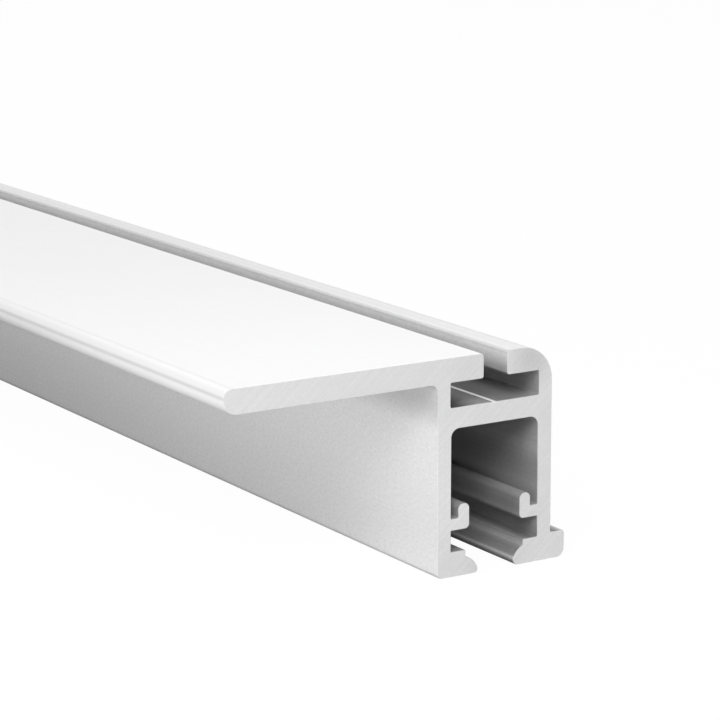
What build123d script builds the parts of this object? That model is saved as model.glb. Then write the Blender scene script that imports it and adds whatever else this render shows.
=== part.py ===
"""Ceiling-edge picture rail: one extruded aluminium section, in millimetres.

The length runs along Y. X is across the section, with 0 on the centre of the
hanging channel and the board flange on the minus side. Z is up from the feet.
"""

import os

from build123d import *

# Length the stock is sold in
length = 2000.0

# Box section
board_wall = 2.0
room_wall = 2.1
channel_width = 13.2
channel_draft = 0.05
web_thickness = 2.75
roof_corner_radius = 1.2
inside_radius = 0.1

# Board flange
board_depth = 25.0
flange_thickness = 3.2
flange_reach = 30.2
flange_root_radius = 1.0
tip_top_radius = 1.3
tip_flat = 0.05

# Cleat slot on top, with a drill line along its floor
slot_width = 13.35
slot_height = 3.15
slot_corner_radius = 0.15
mouth_width = 3.5
mouth_draft = 0.15
flange_end_top_radius = 0.45
flange_end_under_radius = 0.3
drill_line_width = 0.55
drill_line_depth = 0.2
drill_line_shift = 0.15

# Rounded hook beside the slot mouth
hook_nose_radius = 0.4
hook_radius = 4.6

# Inner hooks that carry the hanger
arm_height = 6.0
arm_thickness = 1.55
arm_radius = 0.6
upstand_gap = 1.1
upstand_thickness = 1.67
upstand_rise = 1.8
upstand_flat = 0.13

# Lips each side of the hanging slot, as reaches in from the wall
lip_height = 3.25
step_reach = 2.22
left_step = 0.9
left_step_radius = 0.2
left_brow_reach = 3.66
left_brow_height = 1.7
left_brow_radius = 2.5
left_toe_reach = 4.22
left_toe_radius = 0.45
right_step = 0.75
right_step_radius = 0.12
right_brow_reach = 3.22
right_brow_height = 1.955
right_brow_radius = 2.5
right_toe_reach = 4.22
right_toe_radius = 0.75
left_heel_radius = 0.6

# Foot on the wall side
foot_reach = 2.15
foot_height = 3.55
foot_root_radius = 0.15
foot_top_radius = 0.5
foot_under_radius = 1.15

# Positions across the section
inner = channel_width / 2
slot_side = slot_width / 2
board_face = -inner - board_wall
room_face = inner + room_wall
tip = board_face - flange_reach
mouth = mouth_width / 2
upstand_back = inner - upstand_gap
upstand_front = upstand_back - upstand_thickness
step = inner - step_reach

# Heights
flange_top = board_depth + flange_thickness
slot_floor = board_depth - slot_height
channel_roof = slot_floor - web_thickness
arm_top = arm_height + arm_thickness
upstand_top = arm_top + upstand_rise

upstand_radius = (upstand_thickness - upstand_flat) / 2
tip_under_radius = flange_thickness - tip_top_radius - tip_flat

# Each corner is (x, z, radius), clockwise round the section from the flange tip
flange = [
    (tip, flange_top, tip_top_radius),
    (-mouth, flange_top, flange_end_top_radius),
    (-mouth, board_depth, flange_end_under_radius),
]
cleat_slot = [
    (-slot_side, board_depth, slot_corner_radius),
    (-slot_side, slot_floor, slot_corner_radius),
    (-drill_line_shift - drill_line_width / 2, slot_floor, 0),
    (-drill_line_shift, slot_floor - drill_line_depth, 0),
    (-drill_line_shift + drill_line_width / 2, slot_floor, 0),
    (slot_side, slot_floor, slot_corner_radius),
    (slot_side, board_depth, slot_corner_radius),
]
hook = [
    (mouth, board_depth, hook_nose_radius),
    (mouth + mouth_draft, flange_top, hook_nose_radius),
    (room_face, flange_top, hook_radius),
]
foot = [
    (room_face, foot_height, foot_root_radius),
    (room_face + foot_reach, foot_height, foot_top_radius),
    (room_face + foot_reach, 0, foot_under_radius),
]
right_lip = [
    (inner - right_toe_reach, 0, right_toe_radius),
    (inner - right_brow_reach, right_brow_height, right_brow_radius),
    (step, lip_height - right_step, 0),
    (step, lip_height, right_step_radius),
    (inner, lip_height, inside_radius),
]
right_inner_hook = [
    (inner, arm_height, inside_radius),
    (upstand_front, arm_height, arm_radius),
    (upstand_front, upstand_top, upstand_radius),
    (upstand_back, upstand_top, upstand_radius),
    (upstand_back, arm_top, inside_radius),
    (inner, arm_top, inside_radius),
]
roof = [
    (inner - channel_draft, channel_roof, roof_corner_radius),
    (channel_draft - inner, channel_roof, roof_corner_radius),
]
left_inner_hook = [(-x, z, r) for x, z, r in reversed(right_inner_hook)]
left_lip = [
    (-inner, lip_height, inside_radius),
    (-step, lip_height, left_step_radius),
    (-step, lip_height - left_step, 0),
    (left_brow_reach - inner, left_brow_height, left_brow_radius),
    (left_toe_reach - inner, 0, left_toe_radius),
]
board_side = [
    (board_face, 0, left_heel_radius),
    (board_face, board_depth, flange_root_radius),
    (tip, board_depth, tip_under_radius),
]

section = flange + cleat_slot + hook + foot + right_lip + right_inner_hook
section += roof + left_inner_hook + left_lip + board_side
corners = [(x, z) for x, z, r in section]
radii = [r for x, z, r in section]

with BuildPart() as rail_profile:
    with BuildSketch(Plane.XZ):
        with BuildLine():
            FilletPolyline(*corners, radius=radii, close=True)
        make_face()
    extrude(amount=length / 2, both=True)

os.makedirs("parts", exist_ok=True)
rail_profile.part.label = "rail_profile"
export_step(rail_profile.part, "parts/rail_profile.step")
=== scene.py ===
"""Looks for the picture rail: one sawn length of satin aluminium on a white floor."""

import math

import bpy
from mathutils import Matrix, Vector


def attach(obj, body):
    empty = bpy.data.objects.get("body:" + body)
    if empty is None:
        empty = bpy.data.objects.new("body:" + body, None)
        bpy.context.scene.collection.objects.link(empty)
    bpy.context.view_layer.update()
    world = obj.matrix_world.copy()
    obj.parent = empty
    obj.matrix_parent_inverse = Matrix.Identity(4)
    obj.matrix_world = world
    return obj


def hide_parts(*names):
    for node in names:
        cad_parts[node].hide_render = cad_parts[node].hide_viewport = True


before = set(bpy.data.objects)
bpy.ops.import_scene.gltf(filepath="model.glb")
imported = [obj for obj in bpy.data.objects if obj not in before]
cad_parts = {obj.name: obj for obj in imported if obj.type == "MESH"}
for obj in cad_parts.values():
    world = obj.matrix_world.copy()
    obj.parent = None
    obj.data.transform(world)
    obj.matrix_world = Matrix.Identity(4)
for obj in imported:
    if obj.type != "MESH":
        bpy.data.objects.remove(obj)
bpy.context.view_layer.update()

MM = 0.001

# Section of the rail in millimetres, as the source part has it
LENGTH = 2000.0
BOARD_WALL = 2.0
ROOM_WALL = 2.1
CHANNEL_WIDTH = 13.2
CHANNEL_DRAFT = 0.05
WEB_THICKNESS = 2.75
ROOF_CORNER_RADIUS = 1.2
INSIDE_RADIUS = 0.1
BOARD_DEPTH = 25.0
FLANGE_THICKNESS = 3.2
FLANGE_REACH = 30.2
FLANGE_ROOT_RADIUS = 1.0
TIP_TOP_RADIUS = 1.3
TIP_FLAT = 0.05
SLOT_WIDTH = 13.35
SLOT_HEIGHT = 3.15
SLOT_CORNER_RADIUS = 0.15
MOUTH_WIDTH = 3.5
MOUTH_DRAFT = 0.15
FLANGE_END_TOP_RADIUS = 0.45
FLANGE_END_UNDER_RADIUS = 0.3
DRILL_LINE_WIDTH = 0.55
DRILL_LINE_DEPTH = 0.2
DRILL_LINE_SHIFT = 0.15
HOOK_NOSE_RADIUS = 0.4
HOOK_RADIUS = 4.6
ARM_HEIGHT = 6.0
ARM_THICKNESS = 1.55
ARM_RADIUS = 0.6
UPSTAND_GAP = 1.1
UPSTAND_THICKNESS = 1.67
UPSTAND_RISE = 1.8
UPSTAND_FLAT = 0.13
LIP_HEIGHT = 3.25
STEP_REACH = 2.22
LEFT_STEP = 0.9
LEFT_STEP_RADIUS = 0.2
LEFT_BROW_REACH = 3.66
LEFT_BROW_HEIGHT = 1.7
LEFT_BROW_RADIUS = 2.5
LEFT_TOE_REACH = 4.22
LEFT_TOE_RADIUS = 0.45
RIGHT_STEP = 0.75
RIGHT_STEP_RADIUS = 0.12
RIGHT_BROW_REACH = 3.22
RIGHT_BROW_HEIGHT = 1.955
RIGHT_BROW_RADIUS = 2.5
RIGHT_TOE_REACH = 4.22
RIGHT_TOE_RADIUS = 0.75
LEFT_HEEL_RADIUS = 0.6
FOOT_REACH = 2.15
FOOT_HEIGHT = 3.55
FOOT_ROOT_RADIUS = 0.15
FOOT_TOP_RADIUS = 0.5
FOOT_UNDER_RADIUS = 1.15

# Positions across the section
INNER = CHANNEL_WIDTH / 2
SLOT_SIDE = SLOT_WIDTH / 2
BOARD_FACE = -INNER - BOARD_WALL
ROOM_FACE = INNER + ROOM_WALL
FOOT_FACE = ROOM_FACE + FOOT_REACH
TIP = BOARD_FACE - FLANGE_REACH
MOUTH = MOUTH_WIDTH / 2
UPSTAND_BACK = INNER - UPSTAND_GAP
UPSTAND_FRONT = UPSTAND_BACK - UPSTAND_THICKNESS
STEP = INNER - STEP_REACH

# Heights
TOP = BOARD_DEPTH + FLANGE_THICKNESS
MID_FLANGE = BOARD_DEPTH + FLANGE_THICKNESS / 2
SLOT_FLOOR = BOARD_DEPTH - SLOT_HEIGHT
CHANNEL_ROOF = SLOT_FLOOR - WEB_THICKNESS
ARM_TOP = ARM_HEIGHT + ARM_THICKNESS
UPSTAND_TOP = ARM_TOP + UPSTAND_RISE

UPSTAND_RADIUS = (UPSTAND_THICKNESS - UPSTAND_FLAT) / 2
TIP_UNDER_RADIUS = FLANGE_THICKNESS - TIP_TOP_RADIUS - TIP_FLAT

# Each corner is (x, z, radius), clockwise round the section from the flange tip
FLANGE = [
    (TIP, TOP, TIP_TOP_RADIUS),
    (-MOUTH, TOP, FLANGE_END_TOP_RADIUS),
    (-MOUTH, BOARD_DEPTH, FLANGE_END_UNDER_RADIUS),
]
CLEAT_SLOT = [
    (-SLOT_SIDE, BOARD_DEPTH, SLOT_CORNER_RADIUS),
    (-SLOT_SIDE, SLOT_FLOOR, SLOT_CORNER_RADIUS),
    (-DRILL_LINE_SHIFT - DRILL_LINE_WIDTH / 2, SLOT_FLOOR, 0),
    (-DRILL_LINE_SHIFT, SLOT_FLOOR - DRILL_LINE_DEPTH, 0),
    (-DRILL_LINE_SHIFT + DRILL_LINE_WIDTH / 2, SLOT_FLOOR, 0),
    (SLOT_SIDE, SLOT_FLOOR, SLOT_CORNER_RADIUS),
    (SLOT_SIDE, BOARD_DEPTH, SLOT_CORNER_RADIUS),
]
HOOK = [
    (MOUTH, BOARD_DEPTH, HOOK_NOSE_RADIUS),
    (MOUTH + MOUTH_DRAFT, TOP, HOOK_NOSE_RADIUS),
    (ROOM_FACE, TOP, HOOK_RADIUS),
]
FOOT = [
    (ROOM_FACE, FOOT_HEIGHT, FOOT_ROOT_RADIUS),
    (FOOT_FACE, FOOT_HEIGHT, FOOT_TOP_RADIUS),
    (FOOT_FACE, 0, FOOT_UNDER_RADIUS),
]
RIGHT_LIP = [
    (INNER - RIGHT_TOE_REACH, 0, RIGHT_TOE_RADIUS),
    (INNER - RIGHT_BROW_REACH, RIGHT_BROW_HEIGHT, RIGHT_BROW_RADIUS),
    (STEP, LIP_HEIGHT - RIGHT_STEP, 0),
    (STEP, LIP_HEIGHT, RIGHT_STEP_RADIUS),
    (INNER, LIP_HEIGHT, INSIDE_RADIUS),
]
RIGHT_INNER_HOOK = [
    (INNER, ARM_HEIGHT, INSIDE_RADIUS),
    (UPSTAND_FRONT, ARM_HEIGHT, ARM_RADIUS),
    (UPSTAND_FRONT, UPSTAND_TOP, UPSTAND_RADIUS),
    (UPSTAND_BACK, UPSTAND_TOP, UPSTAND_RADIUS),
    (UPSTAND_BACK, ARM_TOP, INSIDE_RADIUS),
    (INNER, ARM_TOP, INSIDE_RADIUS),
]
ROOF = [
    (INNER - CHANNEL_DRAFT, CHANNEL_ROOF, ROOF_CORNER_RADIUS),
    (CHANNEL_DRAFT - INNER, CHANNEL_ROOF, ROOF_CORNER_RADIUS),
]
LEFT_INNER_HOOK = [(-x, z, r) for x, z, r in reversed(RIGHT_INNER_HOOK)]
LEFT_LIP = [
    (-INNER, LIP_HEIGHT, INSIDE_RADIUS),
    (-STEP, LIP_HEIGHT, LEFT_STEP_RADIUS),
    (-STEP, LIP_HEIGHT - LEFT_STEP, 0),
    (LEFT_BROW_REACH - INNER, LEFT_BROW_HEIGHT, LEFT_BROW_RADIUS),
    (LEFT_TOE_REACH - INNER, 0, LEFT_TOE_RADIUS),
]
BOARD_SIDE = [
    (BOARD_FACE, 0, LEFT_HEEL_RADIUS),
    (BOARD_FACE, BOARD_DEPTH, FLANGE_ROOT_RADIUS),
    (TIP, BOARD_DEPTH, TIP_UNDER_RADIUS),
]
SECTION = FLANGE + CLEAT_SLOT + HOOK + FOOT + RIGHT_LIP + RIGHT_INNER_HOOK
SECTION += ROOF + LEFT_INNER_HOOK + LEFT_LIP + BOARD_SIDE

# Fineness of the mesh: steps in a quarter turn, and the softened edge of the saw cut
STEPS_PER_QUARTER = 14
EDGE_BREAK = 0.05
EDGE_STEPS = 3


def outline(corners):
    """Points round the section as (point, normal before it, normal after it), in millimetres."""
    points = []
    count = len(corners)
    for i, (x, z, radius) in enumerate(corners):
        corner = Vector((x, z))
        before = (Vector(corners[i - 1][:2]) - corner).normalized()
        after = (Vector(corners[(i + 1) % count][:2]) - corner).normalized()
        normal_in = Vector((before.y, -before.x))
        normal_out = Vector((-after.y, after.x))
        if radius == 0:
            points.append((corner, normal_in, normal_out))
            continue
        opening = before.angle(after)
        centre = corner + (before + after).normalized() * radius / math.sin(opening / 2)
        side = 1 if normal_in.dot(centre - corner) < 0 else -1
        turn = normal_in.angle(normal_out)
        steps = max(2, round(STEPS_PER_QUARTER * turn / (math.pi / 2)))
        for k in range(steps + 1):
            share = k / steps
            normal = (
                normal_in * math.sin((1 - share) * turn) + normal_out * math.sin(share * turn)
            ) / math.sin(turn)
            points.append((centre + side * radius * normal, normal, normal))
    return points


def stations():
    """Cuts along the length as (inset of the section, place along it, tilt of the normals)."""
    near = []
    far = []
    for k in range(EDGE_STEPS + 1):
        angle = (math.pi / 2) * (1 - k / EDGE_STEPS)
        inset = EDGE_BREAK * (1 - math.cos(angle))
        back = EDGE_BREAK * (1 - math.sin(angle))
        near.append((inset, -LENGTH / 2 + back, -angle))
        far.append((inset, LENGTH / 2 - back, angle))
    return near + far[::-1]


def rail_mesh():
    """The whole length: smooth sides, flat ends and a softened edge round each end."""
    ring = outline(SECTION)
    cuts = stations()
    count = len(ring)
    vertices = []
    for inset, y, _ in cuts:
        for point, normal_in, normal_out in ring:
            middle = normal_in + normal_out
            middle = middle / middle.dot(normal_in)
            place = point - middle * inset
            vertices.append(Vector((place.x, y, place.y)) * MM)
    faces = []
    normals = []
    for s in range(len(cuts) - 1):
        for i in range(count):
            j = (i + 1) % count
            faces.append((s * count + i, s * count + j, (s + 1) * count + j, (s + 1) * count + i))
            after, before = ring[i][2], ring[j][1]
            for cut, normal in ((s, after), (s, before), (s + 1, before), (s + 1, after)):
                tilt = cuts[cut][2]
                flat = normal * math.cos(tilt)
                normals.append((flat.x, math.sin(tilt), flat.y))
    sides = len(faces)
    faces.append(tuple(range(count - 1, -1, -1)))
    normals += [(0, -1, 0)] * count
    last = (len(cuts) - 1) * count
    faces.append(tuple(range(last, last + count)))
    normals += [(0, 1, 0)] * count
    mesh = bpy.data.meshes.new("rail_surface")
    mesh.from_pydata(vertices, [], faces)
    mesh.update()
    mesh.polygons.foreach_set("use_smooth", [True] * len(faces))
    mesh.polygons.foreach_set("material_index", [0] * sides + [1, 1])
    mesh.normals_split_custom_set(normals)
    return mesh


# Finish of the metal: shade, then the size and strength of its fine marks
OUTSIDE_SHADE = 0.83
# The darker inside tone is painted shade in the slot and channel
INSIDE_PAINTED_SHADE = 0.45
METALLIC = 0.5
ROUGHNESS = 0.28
DULL_ROUGHNESS = 0.5
SPECULAR = 0.5
DULL_SPECULAR = 0.1
GRAIN_SIZE = 0.33
GRAIN_LENGTH = 0.66
GRAIN_DETAIL = 2.0
GRAIN_CONTRAST = 0.055
GRAIN_CONTRAST_ON_TOP = 0.012
GRAIN_CONTRAST_ON_END = 0.025
GRAIN_DEPTH = 0.008
LINE_DETAIL = 3.0
DRAWN_LINE_WIDTH = 0.38
DRAWN_LINE_LENGTH = 600.0
DRAWN_LINE_CONTRAST = 0.006
DRAWN_LINE_CONTRAST_INSIDE = 0.04
DRAWN_LINE_DEPTH = 0.004
SAW_MARK_WIDTH = 0.45
SAW_MARK_LENGTH = 16.0
SAW_MARK_ANGLE = 40.0
SAW_MARK_CONTRAST = 0.035
SAW_MARK_DEPTH = 0.006

# Values of a noise texture that its full contrast spans
NOISE_LOW = 0.3
NOISE_HIGH = 0.7

# The inside of the section, duller and with a painted darker tone for its shade: the distances from
# its middle where it starts and is full
INSIDE_SIDE = (7.3, 6.8)

# The heights where the inside starts and is full, from above and from below
INSIDE_TOP = (MID_FLANGE, BOARD_DEPTH + 0.1)
INSIDE_BOTTOM = (0.0, 0.1)

# Fainter grain tone: the heights where the top face starts and is full, and the tip as (x, z, reach,
# core); the stronger grain tone on the sides is painted shading of the grain
FAINT_GRAIN_TOP = (TOP - 0.3, TOP - 0.1)
FAINT_GRAIN_TIP = (TIP + 1.0, MID_FLANGE, 2.4, 1.9)

# The glossy drill line and the dull nose of the hook, as (x, z, reach, core)
GLOSSY_LINE = (-DRILL_LINE_SHIFT, SLOT_FLOOR, 0.45, 0.3)
DULL_NOSE = (MOUTH + 0.3, TOP - 0.2, 2.0, 0.5)

# Darker and lighter places of the section, mostly painted shade and painted highlights, as (x, z,
# reach, share taken away)
TOE = INNER - RIGHT_TOE_REACH + 0.48
# Outside: painted shade round the flange tip, under the flange, on the hook, in the corner at the
# foot's root and along the heel, with thin darker lines along the tip, flange top and hook
OUTSIDE_PAINTED_SHADE_AND_LINES = {
    "tip top": (TIP + 0.5, TOP - 0.5, 1.6, 0.18),
    "tip shade": (TIP + 0.2, TOP - 0.65, 0.8, 0.13),
    "tip line": (TIP, TOP - TIP_TOP_RADIUS + 0.24, 0.42, 0.22),
    "tip under": (TIP + 0.4, BOARD_DEPTH + 0.8, 1.2, 0.07),
    "flange line": (TIP + TIP_TOP_RADIUS, TOP, 0.25, 0.04),
    "under the flange": (BOARD_FACE, BOARD_DEPTH - 2.5, 4.0, 0.25),
    "hook line": (MOUTH + 0.55, TOP, 0.15, 0.02),
    "hook top": (MOUTH + 2.0, TOP, 2.5, 0.135),
    "hook nose": (MOUTH + 0.16, TOP - 0.14, 0.55, 0.34),
    "hook side": (MOUTH, BOARD_DEPTH + 0.3, 3.0, 0.2),
    "foot root": (ROOM_FACE + 0.5, FOOT_HEIGHT, 2.2, 0.9),
    "heel": (BOARD_FACE, 0.1, 0.7, 0.25),
}
# Inside: painted shade in the slot, the channel and on the inner hooks and lips, and painted
# highlights on the drill line, the channel wall, the step and the toe
INSIDE_PAINTED_LIGHT = {
    "slot corner": (-SLOT_SIDE + 0.8, SLOT_FLOOR, 4.2, 0.75),
    "slot floor": (1.5, SLOT_FLOOR, 5.5, 0.33),
    "drill line": (-DRILL_LINE_SHIFT, SLOT_FLOOR - 0.1, 0.5, -1.5),
    "channel light": (INNER, CHANNEL_ROOF - 4.3, 3.2, -0.2),
    "channel wall": (INNER, CHANNEL_ROOF - 6.6, 2.5, 0.12),
    "inner hook": (UPSTAND_FRONT, ARM_HEIGHT + 1.5, 2.4, 0.26),
    "ledge": (INNER - 0.8, LIP_HEIGHT, 2.1, 0.34),
    "step": (STEP, LIP_HEIGHT - 0.55, 0.5, -0.35),
    "brow": (TOE + 0.4, 2.0, 1.4, 0.3),
    "toe light": (TOE, 1.0, 0.35, -0.8),
    "toe dark": (TOE + 0.2, 0.25, 0.75, 0.6),
}
# Sawn ends: painted shade on the flange end and the hook, and painted light on the board wall and the
# foot
END_PAINTED_LIGHT = {
    "flange end": (-4.0, MID_FLANGE, 5.0, 0.045),
    "hook": (5.6, MID_FLANGE, 4.5, 0.18),
    "board wall": (BOARD_FACE + BOARD_WALL / 2, 10.0, 12.0, -0.06),
    "foot": (8.5, 1.5, 6.0, -0.06),
}


def cleared(owner):
    """The node tree of a material or a world, with no nodes in it."""
    owner.use_nodes = True
    owner.node_tree.nodes.clear()
    return owner.node_tree


def node(tree, kind, place=(0, 0), **values):
    """A shader node with its properties and input values set."""
    made = tree.nodes.new(kind)
    made.location = place
    for name, value in values.items():
        if name in made.inputs:
            made.inputs[name].default_value = value
        else:
            setattr(made, name, value)
    return made


def math_node(tree, operation, first, second, place):
    """A Math node; first and second are sockets or numbers."""
    made = node(tree, "ShaderNodeMath", place, operation=operation)
    for k, value in enumerate((first, second)):
        if isinstance(value, (int, float)):
            made.inputs[k].default_value = value
        elif value is not None:
            tree.links.new(value, made.inputs[k])
    return made.outputs[0]


def smooth_step(tree, distance, none, full, place):
    """A smooth rise from 0 to 1 as the distance goes from none to full, both in millimetres."""
    made = node(tree, "ShaderNodeMapRange", place, interpolation_type="SMOOTHSTEP")
    made.inputs["From Min"].default_value = none * MM
    made.inputs["From Max"].default_value = full * MM
    tree.links.new(distance, made.inputs["Value"])
    return made.outputs[0]


def between(tree, share, at_none, at_full, place):
    """A value that goes from at_none to at_full as the share goes from 0 to 1."""
    made = node(tree, "ShaderNodeMapRange", place)
    made.inputs["To Min"].default_value = at_none
    made.inputs["To Max"].default_value = at_full
    tree.links.new(share, made.inputs["Value"])
    return made.outputs[0]


def inside_mask(tree, parts):
    """1 on the walls of the cleat slot and the hanging channel, which are duller and take the painted
    inside shade, and 0 outside them.
    """
    across = math_node(tree, "ABSOLUTE", parts.outputs["X"], None, (-900, 500))
    within = smooth_step(tree, across, *INSIDE_SIDE, (-700, 500))
    below = smooth_step(tree, parts.outputs["Z"], *INSIDE_TOP, (-700, 700))
    above = smooth_step(tree, parts.outputs["Z"], *INSIDE_BOTTOM, (-700, 900))
    column = math_node(tree, "MULTIPLY", within, below, (-500, 600))
    return math_node(tree, "MULTIPLY", column, above, (-300, 700))


def closeness(tree, parts, x, z, reach, core, place):
    """1 up to core millimetres from the point (x, z) of the section, and 0 beyond reach."""
    section = node(tree, "ShaderNodeCombineXYZ", place)
    tree.links.new(parts.outputs["X"], section.inputs["X"])
    tree.links.new(parts.outputs["Z"], section.inputs["Z"])
    gap = node(tree, "ShaderNodeVectorMath", (place[0] + 200, place[1]), operation="DISTANCE")
    gap.inputs[1].default_value = (x * MM, 0, z * MM)
    tree.links.new(section.outputs[0], gap.inputs[0])
    return smooth_step(tree, gap.outputs["Value"], reach, core, (place[0] + 400, place[1]))


def tone_with_painted_light(tree, parts, tone, places, height=1200):
    """The tone with painted shade and painted highlights round each place, as (x, z, reach, share
    taken away).
    """
    for k, (x, z, reach, taken) in enumerate(places):
        near = closeness(tree, parts, x, z, reach, 0.0, (-900, height + 200 * k))
        kept = between(tree, near, 1.0, 1.0 - taken, (-300, height + 200 * k))
        tone = math_node(tree, "MULTIPLY", tone, kept, (-100, height + 200 * k))
    return tone


def noise(tree, place, scale, detail, height, tilt=0.0):
    """Noise stretched to the scale in millimetres each way, and tilted about the rail's length."""
    stretch = node(tree, "ShaderNodeMapping", (-950, height), vector_type="TEXTURE")
    stretch.inputs["Rotation"].default_value = (0, tilt, 0)
    stretch.inputs["Scale"].default_value = [size * MM for size in scale]
    texture = node(tree, "ShaderNodeTexNoise", (-700, height), Scale=1.0, Detail=detail)
    tree.links.new(place.outputs["Object"], stretch.inputs["Vector"])
    tree.links.new(stretch.outputs[0], texture.inputs["Vector"])
    return texture.outputs["Fac"]


def spread(tree, source, contrast, place):
    """A noise value turned into a factor of 1 plus or minus the contrast, a socket or a number."""
    made = node(tree, "ShaderNodeMapRange", place)
    made.inputs["From Min"].default_value = NOISE_LOW
    made.inputs["From Max"].default_value = NOISE_HIGH
    made.inputs["To Min"].default_value = -1.0
    tree.links.new(source, made.inputs["Value"])
    swing = math_node(tree, "MULTIPLY", made.outputs[0], contrast, (place[0] + 150, place[1]))
    return math_node(tree, "ADD", swing, 1.0, (place[0] + 300, place[1]))


def sides_finish(tree, parts, shader):
    """Sets the gloss of the long sides; returns their tone with painted shade and highlights, their
    grain contrast and line contrast.
    """
    inside = inside_mask(tree, parts)
    glossy = closeness(tree, parts, *GLOSSY_LINE, (-900, 900))
    nose = closeness(tree, parts, *DULL_NOSE, (-900, 1000))
    dull = math_node(tree, "SUBTRACT", inside, glossy, (-100, 800))
    dull = math_node(tree, "MAXIMUM", dull, nose, (0, 800))
    roughness = between(tree, dull, ROUGHNESS, DULL_ROUGHNESS, (100, 800))
    specular = between(tree, dull, SPECULAR, DULL_SPECULAR, (300, 800))
    tree.links.new(roughness, shader.inputs["Roughness"])
    tree.links.new(specular, shader.inputs["Specular IOR Level"])
    # Outside and inside tones, each with painted shade and highlights; the inside one is darker as
    # painted shade in the recesses
    tone = node(tree, "ShaderNodeMix", (-100, 600), data_type="FLOAT")
    tree.links.new(inside, tone.inputs["Factor"])
    tree.links.new(tone_with_painted_light(tree, parts, OUTSIDE_SHADE, OUTSIDE_PAINTED_SHADE_AND_LINES.values()), tone.inputs["A"])
    tree.links.new(tone_with_painted_light(tree, parts, INSIDE_PAINTED_SHADE, INSIDE_PAINTED_LIGHT.values(), 3500), tone.inputs["B"])
    # Grain tone fades on the top and the tip; its strength on the sides is painted shading of the
    # grain
    top = smooth_step(tree, parts.outputs["Z"], *FAINT_GRAIN_TOP, (-800, 300))
    tip = closeness(tree, parts, *FAINT_GRAIN_TIP, (-1200, 300))
    smooth = math_node(tree, "MAXIMUM", top, tip, (-700, 300))
    grain = between(tree, smooth, GRAIN_CONTRAST, GRAIN_CONTRAST_ON_TOP, (-600, 300))
    lines = between(tree, inside, DRAWN_LINE_CONTRAST, DRAWN_LINE_CONTRAST_INSIDE, (-600, 100))
    return tone.outputs[0], grain, lines


def aluminium(name, sawn=False):
    """Satin aluminium: a matt grain, with drawn lines along it or saw marks across its ends."""
    material = bpy.data.materials.new(name)
    tree = cleared(material)
    output = node(tree, "ShaderNodeOutputMaterial", (900, 0))
    shader = node(tree, "ShaderNodeBsdfPrincipled", (600, 0), Metallic=METALLIC, Roughness=ROUGHNESS)
    tree.links.new(shader.outputs[0], output.inputs[0])
    place = node(tree, "ShaderNodeTexCoord", (-1300, 0))
    parts = node(tree, "ShaderNodeSeparateXYZ", (-1100, 600))
    tree.links.new(place.outputs["Object"], parts.inputs[0])
    grain = noise(tree, place, (GRAIN_SIZE, GRAIN_LENGTH, GRAIN_SIZE), GRAIN_DETAIL, 0)
    if sawn:
        scale = (SAW_MARK_WIDTH, LENGTH / 2, SAW_MARK_LENGTH)
        lines = noise(tree, place, scale, LINE_DETAIL, -300, math.radians(90 - SAW_MARK_ANGLE))
        line_depth = SAW_MARK_DEPTH
        # The sawn ends get painted shade and painted light across their face
        tone = tone_with_painted_light(tree, parts, OUTSIDE_SHADE, END_PAINTED_LIGHT.values())
        grain_contrast, line_contrast = GRAIN_CONTRAST_ON_END, SAW_MARK_CONTRAST
    else:
        scale = (DRAWN_LINE_WIDTH, DRAWN_LINE_LENGTH, DRAWN_LINE_WIDTH)
        lines = noise(tree, place, scale, LINE_DETAIL, -300)
        line_depth = DRAWN_LINE_DEPTH
        tone, grain_contrast, line_contrast = sides_finish(tree, parts, shader)
    grained = spread(tree, grain, grain_contrast, (-300, 300))
    lined = spread(tree, lines, line_contrast, (-300, 100))
    tone = math_node(tree, "MULTIPLY", tone, grained, (0, 400))
    tone = math_node(tree, "MULTIPLY", tone, lined, (200, 400))
    colour = node(tree, "ShaderNodeCombineColor", (400, 300))
    for channel in range(3):
        tree.links.new(tone, colour.inputs[channel])
    tree.links.new(colour.outputs[0], shader.inputs["Base Color"])
    marks = node(tree, "ShaderNodeBump", (100, -300), Strength=1.0, Distance=line_depth * MM)
    tree.links.new(lines, marks.inputs["Height"])
    bump = node(tree, "ShaderNodeBump", (350, -200), Strength=1.0, Distance=GRAIN_DEPTH * MM)
    tree.links.new(grain, bump.inputs["Height"])
    tree.links.new(marks.outputs["Normal"], bump.inputs["Normal"])
    tree.links.new(bump.outputs["Normal"], shader.inputs["Normal"])
    return material


rail = bpy.data.objects.new("rail", rail_mesh())
bpy.context.scene.collection.objects.link(rail)
rail.data.materials.append(aluminium("satin_aluminium"))
rail.data.materials.append(aluminium("sawn_aluminium", sawn=True))
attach(rail, "root")
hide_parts("rail_profile")

# Floor: its size and its drop below the feet in metres, and its shade to the light and to the camera
FLOOR_SIZE = 60.0
FLOOR_DROP = 0.00005
FLOOR_COLOUR = 0.43
FLOOR_COLOUR_TO_CAMERA = 1.0

# White added to the floor for the camera, and for the metal's gloss except near the rail's feet, where
# it fades out as a painted shadow under the rail in the metal's reflections
FLOOR_WHITE_TO_CAMERA = 0.96
FLOOR_WHITE_IN_GLOSS = 0.15
FEET_HALF_WIDTH = 9.0
SHADE_REACH = 45.0

# Light of the world on the rail; the camera and gloss see it as plain white
WORLD_LIGHT = 0.2


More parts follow.
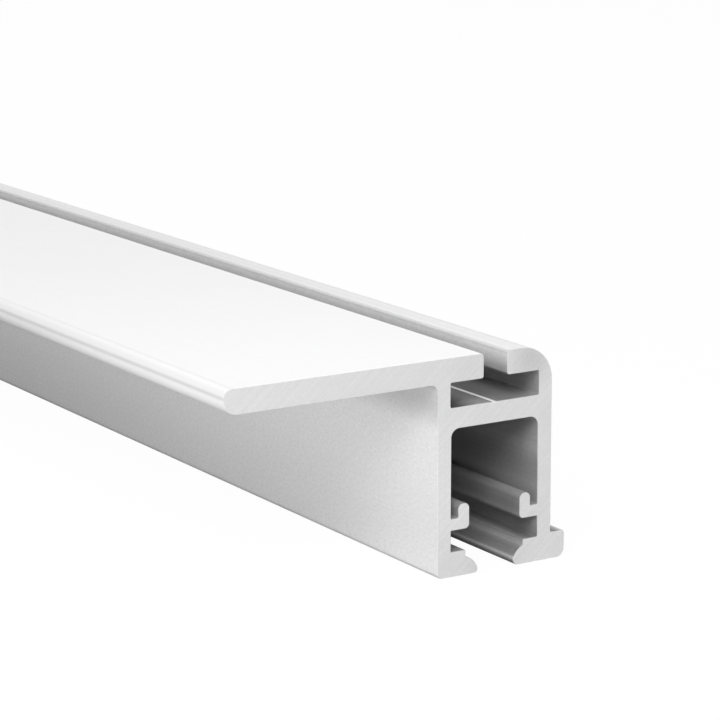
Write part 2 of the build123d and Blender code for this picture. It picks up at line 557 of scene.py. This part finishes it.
def share_by_ray(tree, camera_share, gloss_share, place):
    """camera_share for camera rays, gloss_share for gloss and glass, and 0 for the light itself."""
    path = node(tree, "ShaderNodeLightPath", place)
    camera_ray = path.outputs["Is Camera Ray"]
    gloss_ray = path.outputs["Is Glossy Ray"]
    glass_ray = path.outputs["Is Transmission Ray"]
    x, y = place
    gloss = math_node(tree, "MAXIMUM", gloss_ray, glass_ray, (x + 200, y))
    gloss_part = math_node(tree, "MULTIPLY", gloss, gloss_share, (x + 400, y))
    camera_part = math_node(tree, "MULTIPLY", camera_ray, camera_share, (x + 400, y + 200))
    return math_node(tree, "MAXIMUM", camera_part, gloss_part, (x + 600, y))


def distance_from_rail(tree):
    """Distance along the floor from the rail's feet, in metres."""
    place = node(tree, "ShaderNodeTexCoord", (-1800, -300))
    across = node(tree, "ShaderNodeVectorMath", (-1600, -300), operation="ABSOLUTE")
    beyond = node(tree, "ShaderNodeVectorMath", (-1400, -300), operation="SUBTRACT")
    beyond.inputs[1].default_value = (FEET_HALF_WIDTH * MM, LENGTH / 2 * MM, 1)
    outside = node(tree, "ShaderNodeVectorMath", (-1200, -300), operation="MAXIMUM")
    outside.inputs[1].default_value = (0, 0, 0)
    length = node(tree, "ShaderNodeVectorMath", (-1000, -300), operation="LENGTH")
    tree.links.new(place.outputs["Object"], across.inputs[0])
    tree.links.new(across.outputs[0], beyond.inputs[0])
    tree.links.new(beyond.outputs[0], outside.inputs[0])
    tree.links.new(outside.outputs[0], length.inputs[0])
    return length.outputs["Value"]


def white_floor():
    """White to the camera, with the rail's shadow; grey to the light that it throws back."""
    material = bpy.data.materials.new("white_floor")
    tree = cleared(material)
    output = node(tree, "ShaderNodeOutputMaterial", (600, 0))
    blend = node(tree, "ShaderNodeMixShader", (400, 0))
    matt = node(tree, "ShaderNodeBsdfDiffuse", (100, 0))
    seen = node(tree, "ShaderNodeLightPath", (-400, 500)).outputs["Is Camera Ray"]
    colour = between(tree, seen, FLOOR_COLOUR, FLOOR_COLOUR_TO_CAMERA, (-100, 500))
    tree.links.new(colour, matt.inputs["Color"])
    glow = node(tree, "ShaderNodeEmission", (100, -200), Color=(1, 1, 1, 1), Strength=1.0)
    # The gloss white fades out near the feet: a painted shadow in the floor that the metal reflects
    clear = smooth_step(tree, distance_from_rail(tree), 0.0, SHADE_REACH, (-800, -300))
    gloss_share = math_node(tree, "MULTIPLY", clear, FLOOR_WHITE_IN_GLOSS, (-600, -300))
    white = share_by_ray(tree, FLOOR_WHITE_TO_CAMERA, gloss_share, (-400, 200))
    tree.links.new(white, blend.inputs[0])
    tree.links.new(matt.outputs[0], blend.inputs[1])
    tree.links.new(glow.outputs[0], blend.inputs[2])
    tree.links.new(blend.outputs[0], output.inputs[0])
    return material


def studio_world():
    """An even world that the camera and gloss see as white."""
    world = bpy.data.worlds.new("studio")
    tree = cleared(world)
    output = node(tree, "ShaderNodeOutputWorld", (600, 0))
    background = node(tree, "ShaderNodeBackground", (400, 0), Color=(1, 1, 1, 1))
    level = between(tree, share_by_ray(tree, 1.0, 1.0, (-600, 0)), WORLD_LIGHT, 1.0, (200, 0))
    tree.links.new(level, background.inputs["Strength"])
    tree.links.new(background.outputs[0], output.inputs[0])
    return world


half = FLOOR_SIZE / 2
floor_corners = [(-half, -half), (half, -half), (half, half), (-half, half)]
floor_mesh = bpy.data.meshes.new("floor")
floor_mesh.from_pydata([(x, y, -FLOOR_DROP) for x, y in floor_corners], [], [(0, 1, 2, 3)])
floor_mesh.materials.append(white_floor())
floor = bpy.data.objects.new("floor", floor_mesh)
bpy.context.scene.collection.objects.link(floor)
bpy.context.scene.world = studio_world()


def soft_box(name, place, aim, size, watts, in_gloss):
    """A rectangular soft light at place, pointed at aim, unseen by the camera and perhaps in gloss."""
    data = bpy.data.lights.new(name, "AREA")
    data.shape = "RECTANGLE"
    data.size, data.size_y = size
    data.energy = watts
    lamp = bpy.data.objects.new(name, data)
    lamp.location = place
    lamp.rotation_mode = "QUATERNION"
    lamp.rotation_quaternion = (Vector(aim) - Vector(place)).to_track_quat("-Z", "Y")
    lamp.visible_camera = False
    lamp.visible_glossy = in_gloss
    bpy.context.scene.collection.objects.link(lamp)


# Lamps, as (name, place, aim, size, watts, seen in gloss), in metres
MIDDLE = (0, 0, 0)
NEAR_END = (-0.01, -0.98, 0.02)
FAR_END = (-0.01, 0.98, 0.02)
OVER_NEAR_END = (-0.02, -1.0, 0.03)
LAMPS = [
    ("overhead", (0, 0, 1.6), MIDDLE, (1.2, 3.4), 1.5, True),
    ("front_left", (-0.7, -1.8, 0.9), NEAR_END, (0.8, 0.8), 17.2, False),
    ("left_side", (-1.2, 0, 0.5), MIDDLE, (0.5, 2.8), 19.0, False),
    ("back_left", (-0.5, 1.9, 0.8), FAR_END, (0.8, 0.8), 16.0, False),
    ("front", (-0.13, -1.5, 0.02), NEAR_END, (0.2, 0.03), 0.58, True),
    ("over_near_end", (-0.02, -1.015, 0.115), OVER_NEAR_END, (0.08, 0.08), 0.034, False),
    ("close_to_side", (-0.12, -1.0, 0.025), NEAR_END, (0.06, 0.05), 0.054, False),
]
for lamp in LAMPS:
    soft_box(*lamp)

# Camera, from the vanishing lines and the section's corners in the photograph
CAMERA_PLACE = (-0.18934, -1.27350, 0.10159)
YAW = math.radians(31.787)
PITCH = math.radians(12.623)
ROLL = math.radians(0.250)
camera_data = bpy.data.cameras.new("camera")
camera_data.sensor_width = 36.0
camera_data.lens = 136.70
camera_data.clip_start = 0.01
camera = bpy.data.objects.new("camera", camera_data)
bpy.context.scene.collection.objects.link(camera)
turn = Matrix.Rotation(-YAW, 4, "Z") @ Matrix.Rotation(math.pi / 2 - PITCH, 4, "X")
camera.matrix_world = Matrix.Translation(CAMERA_PLACE) @ turn @ Matrix.Rotation(-ROLL, 4, "Z")
bpy.context.scene.camera = camera
bpy.context.scene.view_settings.view_transform = "Standard"
